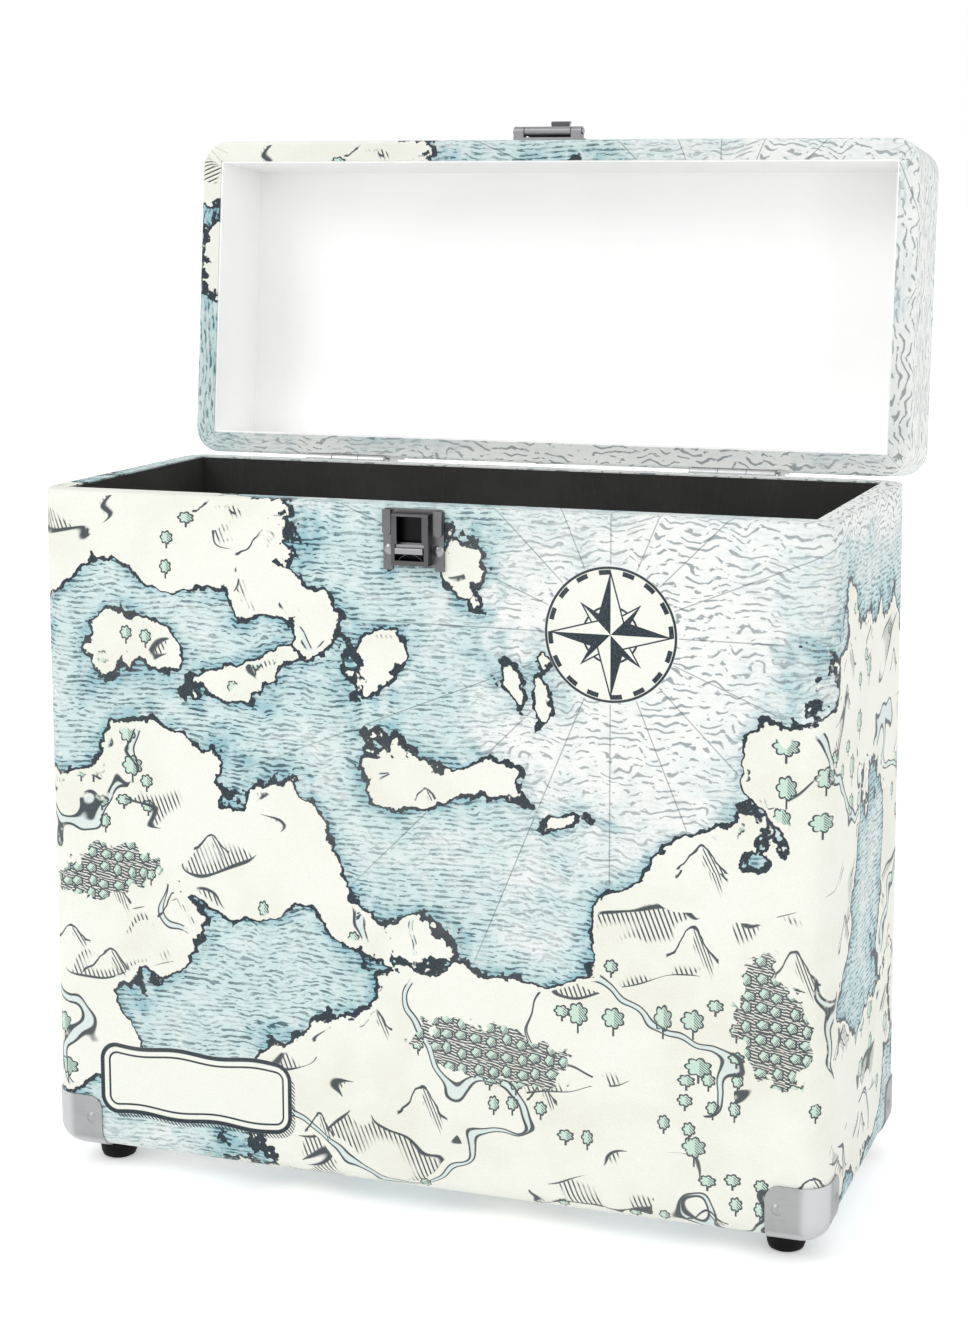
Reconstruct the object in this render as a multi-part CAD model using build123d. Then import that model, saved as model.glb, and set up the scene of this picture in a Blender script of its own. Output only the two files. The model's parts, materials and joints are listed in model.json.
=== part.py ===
"""Record carrying case: an upright box for 12-inch records with a shallow hinged lid.

Frame: millimetres, +Z up, +X to the right of someone facing the catch, +Y to the back.
The origin is on the floor, on the centre line, under the middle of the open case's
whole depth.

Each half of the case is a tray of mitred boards, wrapped in printed leatherette and
lined inside. Two stop hinges at the back carry the lid, which is drawn open against
its stops. A hinged hasp on the lid hooks into a sprung catch on the body, and a
moulded handle swings on two brackets on top of the lid.
"""
import os
from math import asin, cos, degrees, radians, sin

from build123d import *

# ---------------------------------------------------------------- driving dimensions
CASE_WIDTH = 350.0
CASE_DEPTH = 150.0
BODY_HEIGHT = 295.0
LID_HEIGHT = 55.0
RIM_GAP = 0.4
OPEN_ANGLE = 96.0
CORNER_RADIUS = 12.0
EDGE_RADIUS = 10.0

BOARD = 9.0
COVERING = 0.6
LINING = 0.8
RIM_RADIUS = 1.6

FOOT_HEIGHT = 10.5
FOOT_RADIUS = 9.0
FOOT_INSET_X = 20.5
FOOT_INSET_Y = 22.0

GUARD_THICKNESS = 0.8
GUARD_REACH = 24.5
GUARD_CORNER_RADIUS = 6.0
GUARD_RIVET_INSET = 5.0
GUARD_RIVET_HEIGHT = 14.5

HINGE_SPACING = 190.0
HINGE_WIDTH = 40.0
HINGE_LEAF = 1.0
HINGE_LEAF_LENGTH = 26.0
HINGE_BARREL_RADIUS = 2.0
HINGE_PIN_RADIUS = 1.0
HINGE_OFFSET = 1.2
HINGE_RELIEF = 0.35
HINGE_EAR = 1.2
HINGE_EAR_REACH = 14.0
HINGE_KNUCKLES = 3

HANDLE_SPACING = 120.0
HANDLE_PIVOT_HEIGHT = 9.5
HANDLE_RISE = 34.0
HANDLE_BEND_RADIUS = 22.0
GRIP_WIDTH = 16.0
GRIP_THICKNESS = 12.0

RUNNING_CLEARANCE = 0.05

# ------------------------------------------------------------------ derived positions
FRONT = -112.5
BACK = FRONT + CASE_DEPTH
MIDDLE = (FRONT + BACK) / 2
SIDE = CASE_WIDTH / 2
UNDERSIDE = FOOT_HEIGHT
SPLIT = UNDERSIDE + BODY_HEIGHT
LID_TOP = SPLIT + RIM_GAP + LID_HEIGHT
WALL = COVERING + BOARD

HINGE_AT = (BACK + HINGE_OFFSET, SPLIT)
LID_AXIS = Axis((0, *HINGE_AT), (1, 0, 0))

# Hasp and catch: distances out from the front face, and heights from the split line.
HASP_PIVOT_OUT = 4.2
HASP_PIVOT_UP = 4.5
HASP_FOLD = 165.0
HASP_AXIS = Axis((0, FRONT - HASP_PIVOT_OUT, SPLIT + HASP_PIVOT_UP), (1, 0, 0))
HASP_WIDTH = 33.0
HASP_KNUCKLE_RADIUS = 2.2
HASP_PIN_RADIUS = 0.8
HASP_SHEET = 1.4
HASP_ARM_WIDTH = 4.9
FLAP_WIDTH = 22.4
FLAP_LIP_WIDTH = 14.0

PLATE = 1.2
CATCH_WIDTH = 26.6
HOUSING_WIDTH = 16.4
HOUSING_OUT = 6.2
HOUSING_WALL = 1.0
HOUSING_TOP = -3.2
HOUSING_BOTTOM = -24.4
WINDOW_WIDTH = 11.0
WINDOW_TOP = -4.2
WINDOW_BOTTOM = -15.6
SLIDE_TOP = -15.0
SLIDE_BOTTOM = -19.6
SLIDE_IN = 3.6
SLIDE_THICKNESS = 1.4
TONGUE_TOP = -13.2

HANDLE_PIVOT = LID_TOP + HANDLE_PIVOT_HEIGHT
HANDLE_AXIS = Axis((0, MIDDLE, HANDLE_PIVOT), (1, 0, 0))

parts = {}


# --------------------------------------------------------------------- shape helpers
def block(x, y, z):
    """Box between the given (low, high) pairs."""
    size = [high - low for low, high in (x, y, z)]
    middle = [(high + low) / 2 for low, high in (x, y, z)]
    return Pos(*middle) * Box(*size)


def out_block(x, out, up):
    """Box on the front face: across, outwards from the face, upwards from the split line."""
    return block(x, (FRONT - out[1], FRONT - out[0]), (SPLIT + up[0], SPLIT + up[1]))


def rod(radius, start, end, at):
    """Round bar along X between two x values, on the axis line at (y, z)."""
    bar = Cylinder(radius, end - start)
    return Pos((start + end) / 2, at[0], at[1]) * Rot(0, 90, 0) * bar


def side_profile(points, start, end):
    """Polygon of (y, z) points carried along X from start to end."""
    face = make_face(Polyline(*points, close=True))
    return Pos(start, 0, 0) * extrude(Plane.YZ * face, amount=end - start)


def rounded_tray(rim, inset):
    """Outside of a tray half, inset all over: vertical corners and underside edge rounded."""
    outline = RectangleRounded(CASE_WIDTH - 2 * inset, CASE_DEPTH - 2 * inset, CORNER_RADIUS - inset)
    solid = Pos(0, 0, inset) * extrude(outline, amount=rim - 2 * inset)
    underside = solid.faces().sort_by(Axis.Z)[0]
    return fillet(underside.edges(), EDGE_RADIUS - inset)


def opened(part):
    """Turns a lid piece from the closed lid to the open one."""
    return part.rotate(LID_AXIS, -OPEN_ANGLE)


def add(name, part):
    """Stores a piece under its node name."""
    part.label = name
    parts[name] = part


def mirrored_pair(name, part):
    """Stores a right-hand piece and its mirror image on the left."""
    add(f"{name}_right", part)
    add(f"{name}_left", mirror(part, Plane.YZ))


def rivet_head():
    """Domed head of a rivet, standing on z = 0."""
    radius, height = 2.4, 1.0
    ball_radius = (radius**2 + height**2) / (2 * height)
    half_angle = degrees(asin(radius / ball_radius))
    dome = CenterArc((0, height - ball_radius), ball_radius, 90 - half_angle, half_angle)
    seat = Polyline((0, height), (0, 0), (radius, 0))
    return revolve(Plane.XZ * make_face(dome + seat), Axis.Z)


def facing(point, outward, lift):
    """Location whose local Z points outwards, lifted off a point of a surface."""
    return Location(Plane(origin=point, z_dir=outward)) * Pos(0, 0, lift)


def cut(carriers, tools):
    """Takes every tool's shape away from each of the carrier nodes."""
    for carrier in carriers:
        rest = parts[carrier]
        for tool in tools:
            rest = rest - tool
        add(carrier, rest)


def add_rivets(name, spots):
    """Adds one node of rivet heads, seated on their plates at the spots."""
    head = rivet_head()
    add(name, Compound(children=[spot * head for spot in spots]))


# ----------------------------------------------------------------------- case halves
def tray_pieces(height):
    """Boards, covering and linings of one half, floor down, centred on the Z axis.

    The covering is folded over the rim of the boards, and the linings end just under it.
    """
    inner_x = SIDE - WALL
    inner_y = CASE_DEPTH / 2 - WALL
    core = rounded_tray(height, COVERING)
    hollow = block((-inner_x, inner_x), (-inner_y, inner_y), (WALL, height))
    boards = core - hollow
    wrapped = rounded_tray(height, 0)
    wrapped = fillet(wrapped.faces().sort_by(Axis.Z)[-1].edges(), RIM_RADIUS)
    covering = wrapped - core - hollow

    floor_slab = block((-SIDE, SIDE), (-SIDE, SIDE), (0, WALL))
    pieces = {"base_board": boards & floor_slab, "covering": covering}

    # Mitred walls: each is the part of the ring inside a trapezium with 45-degree ends.
    ring = boards - floor_slab
    reach = 2 * BOARD
    half_y = CASE_DEPTH / 2
    front_plan = [(-SIDE, -half_y), (SIDE, -half_y), (SIDE - reach, reach - half_y), (reach - SIDE, reach - half_y)]
    side_plan = [(SIDE, -half_y), (SIDE, half_y), (SIDE - reach, half_y - reach), (SIDE - reach, reach - half_y)]
    for name, plan, turned in (
        ("front_board", front_plan, False),
        ("right_board", side_plan, False),
        ("back_board", front_plan, True),
        ("left_board", side_plan, True),
    ):
        mitre = extrude(make_face(Polyline(*plan, close=True)), amount=height)
        if turned:
            mitre = mitre.rotate(Axis.Z, 180)
        pieces[name] = ring & mitre

    # Linings: a floor card, long cards front and back, and short cards between them.
    card_x = inner_x - LINING
    card_y = inner_y - LINING
    card_floor = WALL + LINING
    card_top = height - COVERING
    pieces["base_lining"] = block((-inner_x, inner_x), (-inner_y, inner_y), (WALL, card_floor))
    pieces["front_lining"] = block((-inner_x, inner_x), (-inner_y, -card_y), (card_floor, card_top))
    pieces["back_lining"] = block((-inner_x, inner_x), (card_y, inner_y), (card_floor, card_top))
    pieces["left_lining"] = block((-inner_x, -card_x), (-card_y, card_y), (card_floor, card_top))
    pieces["right_lining"] = block((card_x, inner_x), (-card_y, card_y), (card_floor, card_top))
    return pieces


def add_body_tray():
    """The deep half, standing on its feet."""
    for name, piece in tray_pieces(BODY_HEIGHT).items():
        add(f"body_{name}", Pos(0, MIDDLE, UNDERSIDE) * piece)


def add_lid_tray():
    """The shallow half, turned over so that its floor is the top of the lid."""
    for name, piece in tray_pieces(LID_HEIGHT).items():
        turned_over = mirror(piece, Plane.XY)
        add(f"lid_{name}".replace("base", "top"), Pos(0, MIDDLE, LID_TOP) * turned_over)


# -------------------------------------------------------------- corner guards, feet
def corner_guard():
    """Pressed steel cap over the front right lower corner, in three rounded flanges."""
    lower = rounded_tray(3 * GUARD_REACH, 0)
    outline = RectangleRounded(
        CASE_WIDTH + 2 * GUARD_THICKNESS,
        CASE_DEPTH + 2 * GUARD_THICKNESS,
        CORNER_RADIUS + GUARD_THICKNESS,
    )
    grown = Pos(0, 0, -GUARD_THICKNESS) * extrude(outline, amount=3 * GUARD_REACH)
    underneath = grown.faces().sort_by(Axis.Z)[0]
    grown = fillet(underneath.edges(), EDGE_RADIUS + GUARD_THICKNESS)
    free_x = SIDE - GUARD_REACH
    free_y = GUARD_REACH - CASE_DEPTH / 2
    corner = block((free_x, SIDE + 5), (-CASE_DEPTH / 2 - 5, free_y), (-5, GUARD_REACH))
    guard = (grown - lower) & corner

    def at_free_corner(edge):
        spot = edge.center()
        free = [
            abs(spot.X - free_x) < 0.01,
            abs(spot.Y - free_y) < 0.01,
            abs(spot.Z - GUARD_REACH) < 0.01,
        ]
        return edge.length < 2 * GUARD_THICKNESS and sum(free) == 2

    guard = fillet(guard.edges().filter_by(at_free_corner), GUARD_CORNER_RADIUS)
    foot_spot = Pos(SIDE - FOOT_INSET_X, FOOT_INSET_Y - CASE_DEPTH / 2, 0)
    guard = guard - foot_spot * Cylinder(FOOT_RADIUS + 0.4, 8)
    return Pos(0, MIDDLE, UNDERSIDE) * guard


def add_corner_guards():
    """Four guards, each held by a rivet in its long flange and one in its short flange."""
    guard = corner_guard()
    middle_plane = Plane((0, MIDDLE, 0), z_dir=(0, 1, 0))
    mirrored_pair("corner_guard_front", guard)
    mirrored_pair("corner_guard_back", mirror(guard, middle_plane))

    along_x = SIDE - GUARD_REACH + GUARD_RIVET_INSET
    along_y = CASE_DEPTH / 2 - GUARD_REACH + GUARD_RIVET_INSET
    height = UNDERSIDE + GUARD_RIVET_HEIGHT
    spots = []
    for hand in (-1, 1):
        for end in (-1, 1):
            face_y = MIDDLE + end * CASE_DEPTH / 2
            spots.append(facing((hand * along_x, face_y, height), (0, end, 0), GUARD_THICKNESS))
            side_spot = (hand * SIDE, MIDDLE + end * along_y, height)
            spots.append(facing(side_spot, (hand, 0, 0), GUARD_THICKNESS))
    add_rivets("corner_guard_rivets", spots)


def foot():
    """Tapered rubber foot with a rounded tread and a recess for its screw."""
    tread_radius, recess_radius, recess_depth, bore = 8.0, 3.6, 4.0, 1.7
    outline = Polyline(
        (tread_radius, 2.6),
        (7.3, 0.8),
        (5.8, 0),
        (recess_radius, 0),
        (recess_radius, recess_depth),
        (bore, recess_depth),
        (bore, FOOT_HEIGHT),
        (FOOT_RADIUS, FOOT_HEIGHT),
        close=True,
    )
    return revolve(Plane.XZ * make_face(outline), Axis.Z)


def foot_screw():
    """Pan-head screw that reaches from the foot's recess through the base board."""
    head_radius, head_height, shank_radius, seat = 3.0, 2.0, 1.7, 4.0
    head = Pos(0, 0, seat - head_height) * extrude(Circle(head_radius), amount=head_height)
    slot = Pos(0, 0, seat - head_height) * Box(2 * head_radius + 1, 0.8, 1.2)
    shank = Pos(0, 0, seat) * extrude(Circle(shank_radius), amount=UNDERSIDE + WALL - seat)
    return head - slot + shank


def add_feet():
    """Four feet and one node with their four screws."""
    screws = []
    for side, hand in (("left", -1), ("right", 1)):
        for end, sign in (("front", -1), ("back", 1)):
            place = Pos(hand * (SIDE - FOOT_INSET_X), MIDDLE + sign * (CASE_DEPTH / 2 - FOOT_INSET_Y), 0)
            add(f"foot_{end}_{side}", place * foot())
            screws.append(place * foot_screw())
    cut(("body_covering", "body_base_board"), screws)
    add("foot_screws", Compound(children=screws))


# ------------------------------------------------------------------------ stop hinge
def knuckle_spans(count_from):
    """X spans of every second knuckle of a hinge, starting with the given one."""
    pitch = HINGE_WIDTH / HINGE_KNUCKLES
    gap = 0.15
    starts = [-HINGE_WIDTH / 2 + pitch * i for i in range(count_from, HINGE_KNUCKLES, 2)]
    return [(start + gap, start + pitch - gap) for start in starts]


def hinge_leaf(upwards, bore, first_knuckle):
    """Leaf flat on the back face, with its share of the barrel round the pin."""
    sign = 1 if upwards else -1
    clear = HINGE_BARREL_RADIUS + 1.1
    wide = HINGE_WIDTH + 2 * HINGE_EAR + 0.6
    near, far = sign * clear, sign * HINGE_LEAF_LENGTH
    span = (SPLIT + min(near, far), SPLIT + max(near, far))
    leaf = block((-wide / 2, wide / 2), (BACK, BACK + HINGE_LEAF), span)
    tips = leaf.edges().filter_by(Axis.Y).group_by(Axis.Z)[-1 if upwards else 0]
    leaf = fillet(tips, 5.0)
    for start, end in knuckle_spans(first_knuckle):
        neck = (SPLIT + min(0, near), SPLIT + max(0, near))
        leaf += block((start, end), (BACK, BACK + HINGE_LEAF), neck)
        leaf += rod(HINGE_BARREL_RADIUS, start, end, HINGE_AT)
    return leaf - rod(bore, -HINGE_WIDTH, HINGE_WIDTH, HINGE_AT)


def stop_ears(leaf):
    """Adds the two bent ears on which the open lid's leaf comes to rest."""
    def seat(reach):
        # Height of the open lid leaf's outer face at a distance behind the back face.
        along = (reach - HINGE_OFFSET) / sin(radians(OPEN_ANGLE))
        drop = along * cos(radians(OPEN_ANGLE))
        return SPLIT + (HINGE_OFFSET - HINGE_LEAF) / sin(radians(OPEN_ANGLE)) + drop - 0.05

    foot_top = SPLIT - HINGE_BARREL_RADIUS - 1.1
    inner = 2 * HINGE_OFFSET + 1.0
    outline = [
        (BACK, foot_top - 14.0),
        (BACK + 3.0, foot_top - 14.0),
        (BACK + HINGE_EAR_REACH, SPLIT - 4.0),
        (BACK + HINGE_EAR_REACH, seat(HINGE_EAR_REACH)),
        (BACK + inner, seat(inner)),
        (BACK + inner, foot_top - 1.0),
        (BACK + HINGE_LEAF, foot_top - 1.0),
        (BACK, foot_top - 1.0),
    ]
    start = HINGE_WIDTH / 2 + 0.3
    ear = side_profile(outline, start, start + HINGE_EAR)
    return leaf + ear + mirror(ear, Plane.YZ)


def add_hinges():
    """Two stop hinges: the pin is fast in the body leaf and turns in the lid leaf."""
    body_leaf = stop_ears(hinge_leaf(False, HINGE_PIN_RADIUS, 0))
    lid_leaf = hinge_leaf(True, HINGE_PIN_RADIUS + RUNNING_CLEARANCE, 1)
    pin = rod(HINGE_PIN_RADIUS, -HINGE_WIDTH / 2, HINGE_WIDTH / 2, HINGE_AT)
    place = Pos(HINGE_SPACING / 2, 0, 0)
    mirrored_pair("hinge_body_leaf", place * body_leaf)
    mirrored_pair("hinge_lid_leaf", place * lid_leaf)
    mirrored_pair("hinge_pin", place * pin)

    # The barrels are let into the back edges of both halves.
    reach = HINGE_WIDTH / 2 + HINGE_RELIEF
    reliefs = [
        rod(HINGE_BARREL_RADIUS + HINGE_RELIEF, middle - reach, middle + reach, HINGE_AT)
        for middle in (-HINGE_SPACING / 2, HINGE_SPACING / 2)
    ]
    cut(("body_covering", "body_back_board", "lid_covering", "lid_back_board"), reliefs)

    rivet_height = 0.65 * HINGE_LEAF_LENGTH
    rivet_pitch = 24.0
    for half, sign in (("body", -1), ("lid", 1)):
        spots = [
            facing((middle + step, BACK, SPLIT + sign * rivet_height), (0, 1, 0), HINGE_LEAF)
            for middle in (-HINGE_SPACING / 2, HINGE_SPACING / 2)
            for step in (-rivet_pitch / 2, rivet_pitch / 2)
        ]
        add_rivets(f"hinge_{half}_rivets", spots)


# ------------------------------------------------------------------------- the catch
def catch_plate():
    """Back plate with two rounded guide rails, two corner tabs and two inner slide guides."""
    half = CATCH_WIDTH / 2
    top, bottom, tab_bottom = -1.5, -25.2, -27.0
    plate = out_block((-half, half), (0, PLATE), (bottom, top))
    plate = fillet(plate.edges().filter_by(Axis.Y).group_by(Axis.Z)[-1], 1.5)
    rail_width, rail_out, rail_end = 3.6, 3.2, -12.6
    for hand in (-1, 1):
        outer = hand * (half - 0.3)
        inner = outer - hand * rail_width
        span = (min(inner, outer), max(inner, outer))
        rail = out_block(span, (PLATE, rail_out), (rail_end, top - 0.4))
        rail = fillet(rail.edges().filter_by(Axis.Y).group_by(Axis.Z)[0], rail_width / 2 - 0.05)
        tab_span = (min(hand * half, hand * (half - 4)), max(hand * half, hand * (half - 4)))
        guide = (HOUSING_WIDTH / 2 - HOUSING_WALL - 1.6, HOUSING_WIDTH / 2 - HOUSING_WALL)
        guide_span = (min(hand * guide[0], hand * guide[1]), max(hand * guide[0], hand * guide[1]))
        plate += rail
        plate += out_block(tab_span, (0, PLATE), (tab_bottom, bottom))
        plate += out_block(guide_span, (PLATE, SLIDE_IN - 0.1), (-22.4, -17.0))
    return plate


def catch_housing():
    """Raised box with the hasp's window, widened below it into the thumb bar's slot."""
    half = HOUSING_WIDTH / 2
    box = out_block((-half, half), (PLATE, HOUSING_OUT), (HOUSING_BOTTOM, HOUSING_TOP))
    front = box.faces().sort_by(Axis.Y)[0]
    box = fillet(front.edges(), 0.8)
    inner = half - HOUSING_WALL
    box -= out_block(
        (-inner, inner),
        (0, HOUSING_OUT - HOUSING_WALL),
        (HOUSING_BOTTOM + HOUSING_WALL, HOUSING_TOP - HOUSING_WALL),
    )
    through = (HOUSING_OUT - 2 * HOUSING_WALL, HOUSING_OUT + 1)
    box -= out_block((-WINDOW_WIDTH / 2, WINDOW_WIDTH / 2), through, (WINDOW_BOTTOM, WINDOW_TOP))
    slot = 6.4
    return box - out_block((-slot, slot), through, (-22.4, WINDOW_BOTTOM))


def catch_slide():
    """Spring-loaded slide with the thumb bar that shows under the window."""
    half = HOUSING_WIDTH / 2 - HOUSING_WALL - 0.3
    slide_out = SLIDE_IN + SLIDE_THICKNESS
    plate = out_block((-half, half), (SLIDE_IN, slide_out), (SLIDE_BOTTOM, SLIDE_TOP))
    lead_in = plate.faces().sort_by(Axis.Z)[-1].edges().sort_by(Axis.Y)[0]
    plate = chamfer(lead_in, 0.9)
    bar = out_block((-6.1, 6.1), (slide_out, HOUSING_OUT + 1.0), (SLIDE_BOTTOM, SLIDE_BOTTOM + 2.6))
    outer_edges = bar.faces().sort_by(Axis.Y)[0].edges()
    return plate + fillet(outer_edges, 0.5)


def catch_spring():
    """Bowed flat spring that stands on the housing's floor and lifts the slide."""
    strip, half = 0.3, 6.0
    floor = SPLIT + HOUSING_BOTTOM + HOUSING_WALL
    crown = SPLIT + SLIDE_BOTTOM
    outer = ThreePointArc((-half, floor), (0, crown), (half, floor))
    inner = ThreePointArc((half - strip, floor), (0, crown - strip), (strip - half, floor))
    feet = Line((half, floor), (half - strip, floor)) + Line((strip - half, floor), (-half, floor))
    bow = Plane.XZ * make_face(outer + inner + feet)
    return Pos(0, FRONT - SLIDE_IN, 0) * extrude(bow, amount=SLIDE_THICKNESS)


def add_catch():
    """Catch on the body's front, below the middle of the rim."""
    add("catch_plate", catch_plate())
    add("catch_housing", catch_housing())
    add("catch_slide", catch_slide())
    add("catch_spring", catch_spring())
    spots = [facing((x, FRONT, SPLIT - 18.5), (0, -1, 0), PLATE) for x in (-10.75, 10.75)]
    add_rivets("catch_rivets", spots)


# -------------------------------------------------------------------------- the hasp
def hasp_plate():
    """Plate on the lid's front with an arm at each end for the pin."""
    half = HASP_WIDTH / 2
    plate = out_block((-half, half), (0, PLATE), (2.3, 17.0))
    plate = fillet(plate.edges().filter_by(Axis.Y).group_by(Axis.Z)[-1], 3.0)
    axis_at = (FRONT - HASP_PIVOT_OUT, SPLIT + HASP_PIVOT_UP)
    for start, end in ((-half, HASP_ARM_WIDTH - half), (half - HASP_ARM_WIDTH, half)):
        low, high = HASP_PIVOT_UP - HASP_KNUCKLE_RADIUS, HASP_PIVOT_UP + HASP_KNUCKLE_RADIUS
        plate += out_block((start, end), (PLATE, HASP_PIVOT_OUT), (low, high))
        plate += rod(HASP_KNUCKLE_RADIUS, start, end, axis_at)
    return plate - rod(HASP_PIN_RADIUS, -half, half, axis_at)


def hasp_flap():
    """Cranked flap with a curled finger lip, and the hooked tongue that enters the window."""
    half = FLAP_WIDTH / 2
    axis_at = (FRONT - HASP_PIVOT_OUT, SPLIT + HASP_PIVOT_UP)
    route = [(5.7, 4.5), (5.7, 2.4), (7.7, -1.2), (7.7, -14.4), (9.4, -16.2)]
    bend = FilletPolyline(*[(FRONT - out, SPLIT + up) for out, up in route], radius=1.2)
    sheet = Plane.YZ * trace(bend, line_width=HASP_SHEET)
    flap = Pos(-half, 0, 0) * extrude(sheet, amount=FLAP_WIDTH)

    lip = FLAP_LIP_WIDTH / 2
    low = SPLIT - 20.0
    outline = Polyline(
        (-half, SPLIT + 8),
        (-half, SPLIT - 8.5),
        (-lip, SPLIT - 13.0),
        (-lip, low),
        (lip, low),
        (lip, SPLIT - 13.0),
        (half, SPLIT - 8.5),
        (half, SPLIT + 8),
        close=True,
    )
    cutter = extrude(Plane.XZ * make_face(outline), amount=20, both=True)
    flap = flap & (Pos(0, FRONT, 0) * cutter)

    flap += rod(HASP_KNUCKLE_RADIUS, -half, half, axis_at)
    flap -= rod(HASP_PIN_RADIUS + RUNNING_CLEARANCE, -half, half, axis_at)
    tongue, reach, nose_out = 4.5, 2.2, 3.4
    flap += out_block((-tongue, tongue), (reach, 7.1), (TONGUE_TOP - HASP_SHEET, TONGUE_TOP))
    nose = out_block((-tongue, tongue), (reach, nose_out), (TONGUE_TOP - 3.1, TONGUE_TOP))
    lead_in = nose.faces().sort_by(Axis.Z)[0].edges().sort_by(Axis.Y)[-1]
    return flap + chamfer(lead_in, 0.8)


def hasp_pin():
    """Pin headed over the outsides of both arms."""
    half, head = HASP_WIDTH / 2, 0.6
    axis_at = (FRONT - HASP_PIVOT_OUT, SPLIT + HASP_PIVOT_UP)
    pin = rod(HASP_PIN_RADIUS, -half, half, axis_at)
    pin += rod(1.4, -half - head, -half, axis_at)
    return pin + rod(1.4, half, half + head, axis_at)


def add_hasp():
    """Hasp on the lid's front, its flap folded back as far as it goes."""
    add("hasp_plate", hasp_plate())
    add("hasp_flap", hasp_flap().rotate(HASP_AXIS, -HASP_FOLD))
    add("hasp_pin", hasp_pin())
    spots = [facing((x, FRONT, SPLIT + 12.5), (0, -1, 0), PLATE) for x in (-13.9, 13.9)]
    add_rivets("hasp_rivets", spots)


# ------------------------------------------------------------------------ the handle
def handle_bracket(x):
    """Base plate with two round-topped ears for the pivot pin."""
    base = Pos(x, MIDDLE, LID_TOP) * extrude(RectangleRounded(26, 18, 3), amount=PLATE)
    ear_width, ear_thickness, ear_gap = 9.0, 1.5, 8.0
    for hand in (-1, 1):
        near = x + hand * ear_gap / 2
        far = near + hand * ear_thickness
        start, end = min(near, far), max(near, far)
        across = (MIDDLE - ear_width / 2, MIDDLE + ear_width / 2)
        base += block((start, end), across, (LID_TOP, HANDLE_PIVOT))
        base += rod(ear_width / 2, start, end, (MIDDLE, HANDLE_PIVOT))
    return base - rod(2.0, x - 10, x + 10, (MIDDLE, HANDLE_PIVOT))


def handle_pin(x):
    """Pivot pin headed over the outsides of the bracket's ears."""
    outside, head = 5.5, 0.8
    at = (MIDDLE, HANDLE_PIVOT)
    pin = rod(2.0, x - outside, x + outside, at)
    pin += rod(3.0, x - outside - head, x - outside, at)
    return pin + rod(3.0, x + outside, x + outside + head, at)


def handle_bow(section, foot):
    """Sweeps a section along the handle's bow, which starts at a height over the pivots."""
    half = HANDLE_SPACING / 2
    corners = [(-half, foot), (-half, HANDLE_RISE), (half, HANDLE_RISE), (half, foot)]
    bow = Plane.XZ * FilletPolyline(*corners, radius=HANDLE_BEND_RADIUS)
    start = Plane(origin=(-half, 0, foot), x_dir=(1, 0, 0), z_dir=(0, 0, 1))
    return Pos(0, MIDDLE, HANDLE_PIVOT) * sweep(start * section, path=bow)


def handle_strap():
    """Steel strap inside the grip, with an eye at each end for the pivot pins."""
    strap = handle_bow(Rectangle(2.5, 10.0), 3.0)
    eye, eye_width = 4.4, 7.0
    for x in (-HANDLE_SPACING / 2, HANDLE_SPACING / 2):
        strap += rod(eye, x - eye_width / 2, x + eye_width / 2, (MIDDLE, HANDLE_PIVOT))
    for x in (-HANDLE_SPACING / 2, HANDLE_SPACING / 2):
        strap -= rod(2.0 + RUNNING_CLEARANCE, x - 10, x + 10, (MIDDLE, HANDLE_PIVOT))
    return strap


def handle_grip(strap):
    """Moulded grip round the strap, bevelled along its length and round its ends."""
    long_bevel, end_bevel, start = 3.5, 1.5, 9.0
    section = Rectangle(GRIP_THICKNESS, GRIP_WIDTH)
    grip = handle_bow(chamfer(section.vertices(), long_bevel), start)
    ends = grip.faces().filter_by(Axis.Z).group_by(Axis.Z)[0]
    grip = chamfer(ends.edges(), end_bevel)
    return grip - strap


def add_handle():
    """Handle hanging straight down from its pivots behind the open lid."""
    hanging = 180.0 - OPEN_ANGLE
    strap = handle_strap()
    add("handle_grip", handle_grip(strap).rotate(HANDLE_AXIS, -hanging))
    add("handle_strap", strap.rotate(HANDLE_AXIS, -hanging))
    half = HANDLE_SPACING / 2
    mirrored_pair("handle_bracket", handle_bracket(half))
    mirrored_pair("handle_pin", handle_pin(half))
    spots = [
        facing((hand * half + step, MIDDLE, LID_TOP), (0, 0, 1), PLATE)
        for hand in (-1, 1)
        for step in (-9.5, 9.5)
    ]
    add_rivets("handle_rivets", spots)


def open_the_lid():
    """Turns every lid piece about the hinge axis to where the stops hold it."""
    carried = ("lid_", "hinge_lid_", "hasp_", "handle_")
    for name in parts:
        if name.startswith(carried):
            parts[name] = opened(parts[name])
            parts[name].label = name


def main():
    add_body_tray()
    add_lid_tray()
    add_corner_guards()
    add_feet()
    add_hinges()
    add_catch()
    add_hasp()
    add_handle()
    open_the_lid()
    os.makedirs("parts", exist_ok=True)
    for name, part in parts.items():
        export_step(part, f"parts/{name}.step")


main()
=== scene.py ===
"""Record carrying case: the finishes, the printed covering, four finer pieces and the studio.

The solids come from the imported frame. This file dresses them: a generic old sea chart,
drawn by formulas, on the leatherette; grain, linings, plated metal and rubber. It adds the
covering's two seams, and a grip and a spring that are finer than the solids they stand for.
"""
import json
import math
from functools import reduce

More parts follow.
